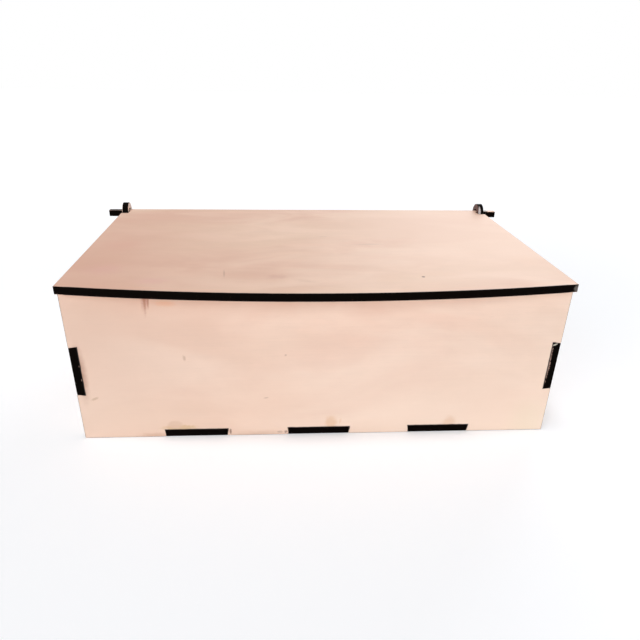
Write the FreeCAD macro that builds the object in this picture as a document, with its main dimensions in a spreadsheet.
"""Hinged-lid keepsake box, laser-cut from one thickness of plywood and glued at finger joints.

Six panels: a bottom, a front, a back, two sides with hinge ears, and a lid whose rear edge carries
the two hinge bars. Units are millimetres. The origin is the centre of the box's underside, +Z is up
and the front panel faces -Y. The lid turns about the line through the two ear holes, along X.
"""
import FreeCAD, Part
import os

import Sketcher

# Driving sizes: cell alias, value, what it measures.
SIZES = (
    ("plywood_thickness", 3.0, "sheet that every panel is cut from"),
    ("box_width", 190.0, "outside, side panel to side panel"),
    ("box_depth", 125.0, "outside, front panel to back panel"),
    ("wall_height", 62.0, "underside of the bottom to the top edge of the walls"),
    ("long_tab_count", 3, "bottom panel tabs through the front, and through the back"),
    ("long_tab_width", 25.0, "one such tab"),
    ("long_tab_space", 25.0, "wall left between two such tabs"),
    ("short_tab_count", 2, "bottom panel tabs through each side panel"),
    ("short_tab_width", 25.0, "one such tab"),
    ("short_tab_space", 25.0, "wall left between two such tabs"),
    ("corner_tab_rise", 20.0, "underside of the box to the side panels' corner tabs"),
    ("corner_tab_height", 20.0, "one corner tab, measured up the corner"),
    ("lid_front_overhang", 3.0, "front panel to the lid's front corners"),
    ("lid_front_bow", 9.0, "how far the lid's front edge bows out at its middle"),
    ("hinge_bar_reach", 7.5, "side panel's outer face to the end of a hinge bar"),
    ("hinge_hole_clearance", 0.38, "corner of the square bar to the wall of its round hole"),
    ("ear_radius", 5.2, "hinge line to the ear's round rim"),
    ("lid_swing_clearance", 0.6, "back panel to the lid's turning rear edge"),
    ("ear_side_clearance", 0.5, "ear's inner face to the lid's rear strip"),
    ("lid_notch_clearance", 2.5, "ear's front edge to the front of the lid's notch"),
)

# Sizes that follow from the driving ones, as formulas for the features below.
HALF_WIDTH = "(sizes.box_width / 2)"
HALF_DEPTH = "(sizes.box_depth / 2)"
INNER_HALF_WIDTH = "(sizes.box_width / 2 - sizes.plywood_thickness)"
INNER_HALF_DEPTH = "(sizes.box_depth / 2 - sizes.plywood_thickness)"
CORNER_TAB_TOP = "(sizes.corner_tab_rise + sizes.corner_tab_height)"

# The square bar turns inside the ear hole, and its corners reach half a diagonal from the axis.
BAR_HALF_DIAGONAL = "(sizes.plywood_thickness / sqrt(2))"
HINGE_HOLE_RADIUS = f"({BAR_HALF_DIAGONAL} + sizes.hinge_hole_clearance)"
# The lid's rear edge sweeps the same radius, so the hinge line stands that far, and a clearance,
# in front of the back panel's inner face.
HINGE_Y = f"({INNER_HALF_DEPTH} - {BAR_HALF_DIAGONAL} - sizes.lid_swing_clearance)"
HINGE_Z = "(sizes.wall_height + sizes.plywood_thickness / 2)"

LID_REAR = f"({HINGE_Y} + sizes.plywood_thickness / 2)"
LID_FRONT_CORNER = f"({HALF_DEPTH} + sizes.lid_front_overhang)"
LID_FRONT_RADIUS = f"(({HALF_WIDTH} ^ 2 + sizes.lid_front_bow ^ 2) / (2 * sizes.lid_front_bow))"
HINGE_BAR_END = f"({HALF_WIDTH} + sizes.hinge_bar_reach)"
NOTCH_FRONT = f"({HINGE_Y} - sizes.ear_radius - sizes.lid_notch_clearance)"
REAR_STRIP_HALF_WIDTH = f"({INNER_HALF_WIDTH} - sizes.ear_side_clearance)"

# Ends of a sketch line or arc, and the sketch's own origin point, as Sketcher numbers them.
START = 1
END = 2
CENTRE = 3
ORIGIN_POINT = (-1, START)


def tab_row(name):
    """Formulas for a centred row of the bottom panel's tabs: first tab's two ends, and the run."""
    pitch = f"(sizes.{name}_width + sizes.{name}_space)"
    run = f"((sizes.{name}_count - 1) * {pitch})"
    first_start = f"(-{run} / 2 - sizes.{name}_width / 2)"
    first_end = f"(-{run} / 2 + sizes.{name}_width / 2)"
    return first_start, first_end, run


def make_sizes(document):
    """Write the driving sizes into a sheet, one alias a row."""
    sheet = document.addObject("Spreadsheet::Sheet", "sizes")
    for row, (alias, value, meaning) in enumerate(SIZES, start=1):
        sheet.set(f"A{row}", alias)
        sheet.set(f"B{row}", str(value))
        sheet.set(f"C{row}", meaning)
        sheet.setAlias(f"B{row}", alias)
    document.recompute()


def make_body(document, label, x="0", y="0", z="0"):
    """Start a panel whose own origin stands at the given place in the box."""
    body = document.addObject("PartDesign::Body", label)
    body.Label = label
    for axis, formula in (("x", x), ("y", y), ("z", z)):
        body.setExpression(f"Placement.Base.{axis}", formula)
    return body


def origin_plane(body, role):
    """The panel's own origin plane of that role."""
    return next(item for item in body.Origin.OriginFeatures if item.Role == role)


def make_sketch(body, name, role):
    """Start a sketch on one of the panel's own origin planes."""
    sketch = body.newObject("Sketcher::SketchObject", name)
    sketch.AttachmentSupport = [(origin_plane(body, role), "")]
    sketch.MapMode = "FlatFace"
    return sketch


def formula_value(sketch, formula):
    """What a formula comes to now; None stands for a point that lies on the sketch's axis."""
    return 0.0 if formula is None else float(sketch.evalExpression(formula))


def hold_point(sketch, point, across, up):
    """Hold a sketch point at two signed distances from the origin, or on an axis for None."""
    for kind, formula, axis in (("DistanceX", across, -2), ("DistanceY", up, -1)):
        if formula is None:
            sketch.addConstraint(Sketcher.Constraint("PointOnObject", *point, axis))
            continue
        value = formula_value(sketch, formula)
        index = sketch.addConstraint(Sketcher.Constraint(kind, *ORIGIN_POINT, *point, value))
        sketch.setExpression(f"Constraints[{index}]", formula)


def hold_radius(sketch, curve, formula):
    """Give a sketch circle or arc its radius."""
    value = formula_value(sketch, formula)
    index = sketch.addConstraint(Sketcher.Constraint("Radius", curve, value))
    sketch.setExpression(f"Constraints[{index}]", formula)


def draw_rectangle(sketch, left, right, low, high):
    """Draw a rectangle between four signed distances from the origin."""
    x_left, x_right = formula_value(sketch, left), formula_value(sketch, right)
    y_low, y_high = formula_value(sketch, low), formula_value(sketch, high)
    corners = [
        FreeCAD.Vector(x_left, y_low),
        FreeCAD.Vector(x_right, y_low),
        FreeCAD.Vector(x_right, y_high),
        FreeCAD.Vector(x_left, y_high),
    ]
    for number, corner in enumerate(corners):
        sketch.addGeometry(Part.LineSegment(corner, corners[(number + 1) % 4]))
    for line in range(4):
        direction = "Horizontal" if line % 2 == 0 else "Vertical"
        sketch.addConstraint(Sketcher.Constraint(direction, line))
        sketch.addConstraint(Sketcher.Constraint("Coincident", line, END, (line + 1) % 4, START))
    hold_point(sketch, (0, START), left, low)
    hold_point(sketch, (2, START), right, high)


def pad(body, name, sketch):
    """Raise a profile by the plywood's thickness."""
    feature = body.newObject("PartDesign::Pad", name)
    feature.Profile = sketch
    feature.setExpression("Length", "sizes.plywood_thickness")
    body.Tip = feature
    return feature


def cut(body, name, sketch):
    """Cut a profile through the plywood, the way that the panel was raised."""
    feature = body.newObject("PartDesign::Pocket", name)
    feature.Profile = sketch
    feature.Reversed = True
    feature.setExpression("Length", "sizes.plywood_thickness")
    body.Tip = feature
    return feature


def repeat(body, name, feature, sketch, axis, run, count):
    """Repeat a feature in a straight row along one axis of its sketch."""
    row = body.newObject("PartDesign::LinearPattern", name)
    row.Originals = [feature]
    row.Direction = (sketch, [axis])
    row.setExpression("Length", run)
    row.setExpression("Occurrences", count)
    body.Tip = row


def mirror(body, name, feature, role):
    """Repeat a feature on the far side of one of the panel's origin planes."""
    copy = body.newObject("PartDesign::Mirrored", name)
    copy.Originals = [feature]
    copy.MirrorPlane = (origin_plane(body, role), [""])
    body.Tip = copy


def tab_slots(body, role, row_name):
    """Cut the row of slots in a wall's lower edge that the bottom panel's tabs fill."""
    first_start, first_end, run = tab_row(row_name)
    sketch = make_sketch(body, "tab_slot_outline", role)
    draw_rectangle(sketch, first_start, first_end, None, "sizes.plywood_thickness")
    slot = cut(body, "tab_slot", sketch)
    repeat(body, "tab_slots", slot, sketch, "H_Axis", run, f"sizes.{row_name}_count")


def make_bottom_panel(document):
    """The floor, with a row of tabs along each of its four edges."""
    body = make_body(document, "bottom_panel")

    sketch = make_sketch(body, "floor_outline", "XY_Plane")
    draw_rectangle(
        sketch, f"-{INNER_HALF_WIDTH}", INNER_HALF_WIDTH, f"-{INNER_HALF_DEPTH}", INNER_HALF_DEPTH
    )
    pad(body, "floor", sketch)

    # One strip from front to back makes a tab in the front wall and its twin in the back wall.
    first_start, first_end, run = tab_row("long_tab")
    sketch = make_sketch(body, "long_tab_outline", "XY_Plane")
    draw_rectangle(sketch, first_start, first_end, f"-{HALF_DEPTH}", HALF_DEPTH)
    strip = pad(body, "long_tab", sketch)
    repeat(body, "long_tabs", strip, sketch, "H_Axis", run, "sizes.long_tab_count")

    # One strip from side to side makes a tab in each side wall.
    first_start, first_end, run = tab_row("short_tab")
    sketch = make_sketch(body, "short_tab_outline", "XY_Plane")
    draw_rectangle(sketch, f"-{HALF_WIDTH}", HALF_WIDTH, first_start, first_end)
    strip = pad(body, "short_tab", sketch)
    repeat(body, "short_tabs", strip, sketch, "V_Axis", run, "sizes.short_tab_count")
    return body


def make_long_wall(document, label, outer_face):
    """The front or the back: full width, with slots for the floor's tabs and the corner tabs."""
    body = make_body(document, label, y=outer_face)

    sketch = make_sketch(body, "wall_outline", "XZ_Plane")
    draw_rectangle(sketch, f"-{HALF_WIDTH}", HALF_WIDTH, None, "sizes.wall_height")
    pad(body, "wall", sketch)

    tab_slots(body, "XZ_Plane", "long_tab")

    sketch = make_sketch(body, "corner_slot_outline", "XZ_Plane")
    draw_rectangle(
        sketch, INNER_HALF_WIDTH, HALF_WIDTH, "sizes.corner_tab_rise", CORNER_TAB_TOP
    )
    slot = cut(body, "corner_slot", sketch)
    mirror(body, "corner_slots", slot, "YZ_Plane")
    return body


def draw_ear(sketch):
    """Draw an ear: upright edges from the wall's top to the axis, and a half round over it."""
    radius = formula_value(sketch, "sizes.ear_radius")
    axis_y = formula_value(sketch, HINGE_Y)
    axis_z = formula_value(sketch, HINGE_Z)
    wall_top = formula_value(sketch, "sizes.wall_height")
    rear_foot = FreeCAD.Vector(axis_y + radius, wall_top)
    rear_shoulder = FreeCAD.Vector(axis_y + radius, axis_z)
    crown = FreeCAD.Vector(axis_y, axis_z + radius)
    front_shoulder = FreeCAD.Vector(axis_y - radius, axis_z)
    front_foot = FreeCAD.Vector(axis_y - radius, wall_top)

    foot = sketch.addGeometry(Part.LineSegment(front_foot, rear_foot))
    rear_edge = sketch.addGeometry(Part.LineSegment(rear_foot, rear_shoulder))
    round_top = sketch.addGeometry(Part.Arc(rear_shoulder, crown, front_shoulder))
    front_edge = sketch.addGeometry(Part.LineSegment(front_shoulder, front_foot))

    sketch.addConstraint(Sketcher.Constraint("Coincident", foot, END, rear_edge, START))
    sketch.addConstraint(Sketcher.Constraint("Tangent", rear_edge, END, round_top, START))
    sketch.addConstraint(Sketcher.Constraint("Tangent", round_top, END, front_edge, START))
    sketch.addConstraint(Sketcher.Constraint("Coincident", front_edge, END, foot, START))
    sketch.addConstraint(Sketcher.Constraint("Vertical", rear_edge))
    sketch.addConstraint(Sketcher.Constraint("Vertical", front_edge))
    sketch.addConstraint(Sketcher.Constraint("Horizontal", foot))
    hold_point(sketch, (round_top, CENTRE), HINGE_Y, HINGE_Z)
    hold_radius(sketch, round_top, "sizes.ear_radius")
    index = sketch.addConstraint(
        Sketcher.Constraint("DistanceY", *ORIGIN_POINT, foot, START, wall_top)
    )
    sketch.setExpression(f"Constraints[{index}]", "sizes.wall_height")


def make_side_panel(document, label, inner_or_outer_face):
    """A side: fits between front and back, with corner tabs and a hinge ear at its rear end."""
    body = make_body(document, label, x=inner_or_outer_face)

    sketch = make_sketch(body, "wall_outline", "YZ_Plane")
    draw_rectangle(sketch, f"-{INNER_HALF_DEPTH}", INNER_HALF_DEPTH, None, "sizes.wall_height")
    pad(body, "wall", sketch)

    # One strip makes the corner tab in the front wall and its twin in the back wall.
    sketch = make_sketch(body, "corner_tab_outline", "YZ_Plane")
    draw_rectangle(
        sketch, f"-{HALF_DEPTH}", HALF_DEPTH, "sizes.corner_tab_rise", CORNER_TAB_TOP
    )
    pad(body, "corner_tabs", sketch)

    sketch = make_sketch(body, "ear_outline", "YZ_Plane")
    draw_ear(sketch)
    pad(body, "ear", sketch)

    tab_slots(body, "YZ_Plane", "short_tab")

    sketch = make_sketch(body, "hinge_hole_outline", "YZ_Plane")
    centre = FreeCAD.Vector(formula_value(sketch, HINGE_Y), formula_value(sketch, HINGE_Z))
    radius = formula_value(sketch, HINGE_HOLE_RADIUS)
    circle = sketch.addGeometry(Part.Circle(centre, FreeCAD.Vector(0, 0, 1), radius))
    hold_point(sketch, (circle, CENTRE), HINGE_Y, HINGE_Z)
    hold_radius(sketch, circle, HINGE_HOLE_RADIUS)
    cut(body, "hinge_hole", sketch)
    return body


def draw_lid(sketch):
    """Draw the lid: three straight edges and a front edge that bows out as a shallow arc."""
    half_width = formula_value(sketch, HALF_WIDTH)
    rear = formula_value(sketch, LID_REAR)
    front = -formula_value(sketch, LID_FRONT_CORNER)
    bow = formula_value(sketch, "sizes.lid_front_bow")
    rear_left = FreeCAD.Vector(-half_width, rear)
    front_left = FreeCAD.Vector(-half_width, front)
    front_middle = FreeCAD.Vector(0, front - bow)
    front_right = FreeCAD.Vector(half_width, front)
    rear_right = FreeCAD.Vector(half_width, rear)

    left_edge = sketch.addGeometry(Part.LineSegment(rear_left, front_left))
    front_edge = sketch.addGeometry(Part.Arc(front_left, front_middle, front_right))
    right_edge = sketch.addGeometry(Part.LineSegment(front_right, rear_right))
    rear_edge = sketch.addGeometry(Part.LineSegment(rear_right, rear_left))

    edges = (left_edge, front_edge, right_edge, rear_edge)
    for number, edge in enumerate(edges):
        following = edges[(number + 1) % 4]
        sketch.addConstraint(Sketcher.Constraint("Coincident", edge, END, following, START))
    sketch.addConstraint(Sketcher.Constraint("Vertical", left_edge))
    sketch.addConstraint(Sketcher.Constraint("Vertical", right_edge))
    sketch.addConstraint(Sketcher.Constraint("Horizontal", rear_edge))
    sketch.addConstraint(Sketcher.Constraint("Horizontal", front_edge, START, front_edge, END))
    hold_point(sketch, (left_edge, START), f"-{HALF_WIDTH}", LID_REAR)
    hold_point(sketch, (right_edge, START), HALF_WIDTH, f"-{LID_FRONT_CORNER}")
    hold_radius(sketch, front_edge, LID_FRONT_RADIUS)


def make_lid(document):
    """The lid lies on the walls; its hinge bars run out of its rear corners through the ears."""
    body = make_body(document, "lid", z="sizes.wall_height")

    sketch = make_sketch(body, "lid_outline", "XY_Plane")
    draw_lid(sketch)
    pad(body, "lid_board", sketch)

    # One square strip along the rear edge makes both hinge bars.
    sketch = make_sketch(body, "hinge_bar_outline", "XY_Plane")
    bar_front = f"({LID_REAR} - sizes.plywood_thickness)"
    draw_rectangle(sketch, f"-{HINGE_BAR_END}", HINGE_BAR_END, bar_front, LID_REAR)
    pad(body, "hinge_bars", sketch)

    sketch = make_sketch(body, "ear_notch_outline", "XY_Plane")
    draw_rectangle(sketch, REAR_STRIP_HALF_WIDTH, HINGE_BAR_END, NOTCH_FRONT, bar_front)
    notch = cut(body, "ear_notch", sketch)
    mirror(body, "ear_notches", notch, "YZ_Plane")
    return body


def check(document, panels):
    """Stop before anything is written if a feature failed or a panel is not one sound solid."""
    for item in document.Objects:
        if "Invalid" in item.State or "Error" in item.State:
            raise RuntimeError(f"{item.Label} did not compute: {item.State}")
    for panel in panels:
        if panel.Shape.isNull() or not panel.Shape.isValid():
            raise RuntimeError(f"{panel.Label} has no valid shape")
        if len(panel.Shape.Solids) != 1:
            raise RuntimeError(f"{panel.Label} is {len(panel.Shape.Solids)} solids, not one")


def write(panels):
    """Write each panel to its own STEP file."""
    os.makedirs("parts", exist_ok=True)
    for panel in panels:
        panel.Shape.exportStep(f"parts/{panel.Label}.step")
        print(f"{panel.Label}: {panel.Shape.Volume:.1f} mm3, {panel.Shape.BoundBox}")


def main():
    document = FreeCAD.newDocument("hinged_lid_box")
    make_sizes(document)
    # A long wall is raised towards the front from its rear face, a side panel towards the right.
    panels = [
        make_bottom_panel(document),
        make_long_wall(document, "front_panel", f"-{INNER_HALF_DEPTH}"),
        make_long_wall(document, "back_panel", HALF_DEPTH),
        make_side_panel(document, "left_side_panel", f"-{HALF_WIDTH}"),
        make_side_panel(document, "right_side_panel", INNER_HALF_WIDTH),
        make_lid(document),
    ]
    document.recompute()
    check(document, panels)
    write(panels)


main()
